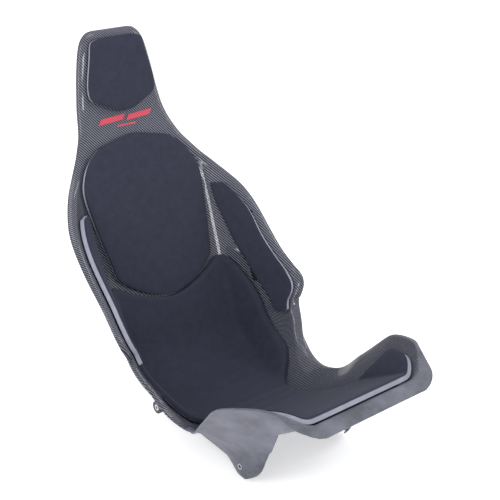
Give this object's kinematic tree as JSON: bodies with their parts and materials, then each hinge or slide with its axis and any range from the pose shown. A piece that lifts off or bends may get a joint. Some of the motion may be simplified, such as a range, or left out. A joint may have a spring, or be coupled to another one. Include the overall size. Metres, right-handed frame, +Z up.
{
  "type": "racing bucket seat",
  "caption": "One-piece high-back racing bucket seat: carbon shell with headrest, torso and leg wings, elbow cutouts, padded inserts and drilled side mounting feet.",
  "frame": {"origin": "midway between the two foot bolt holes, on their common axis", "axes": "+X to the driver's left, -Y the way the driver faces, +Z up, with the back reclined 20 degrees"},
  "size_m": [0.5318, 0.8848, 0.8589],
  "materials": {
    "carbon_laminate": "carbon 2x2 twill under clear gloss resin on the inner face, matte grey mould finish outside",
    "foam": "closed-cell foam, matte, light grey cut edges",
    "cover_fabric": "brushed dark navy-grey knit",
    "fixing_tape": "black hook-and-loop",
    "red_decal": "thin red decal",
    "steel": "zinc plated, turned",
    "boss_resin": "moulded glass-filled resin"
  },
  "bodies": {
    "root": {"shell": "carbon_laminate", "head_cushion_foam": "foam", "head_cushion_cover": "cover_fabric", "back_cushion_foam": "foam", "back_cushion_cover": "cover_fabric", "seat_cushion_foam": "foam", "seat_cushion_cover": "cover_fabric", "left_side_cushion_foam": "foam", "left_side_cushion_cover": "cover_fabric", "right_side_cushion_foam": "foam", "right_side_cushion_cover": "cover_fabric", "left_side_tape": "fixing_tape", "right_side_tape": "fixing_tape", "head_tape_left": "fixing_tape", "head_tape_right": "fixing_tape", "back_tape_upper": "fixing_tape", "back_tape_lower": "fixing_tape", "seat_tape_rear": "fixing_tape", "seat_tape_front": "fixing_tape", "emblem_stripe_left": "red_decal", "emblem_stripe_right": "red_decal", "emblem_bar": "red_decal", "foot_bush_left": "steel", "foot_bush_right": "steel", "hip_boss_left": "boss_resin", "hip_boss_right": "boss_resin", "hip_insert_left": "steel", "hip_insert_right": "steel"}
  },
  "joints": []
}
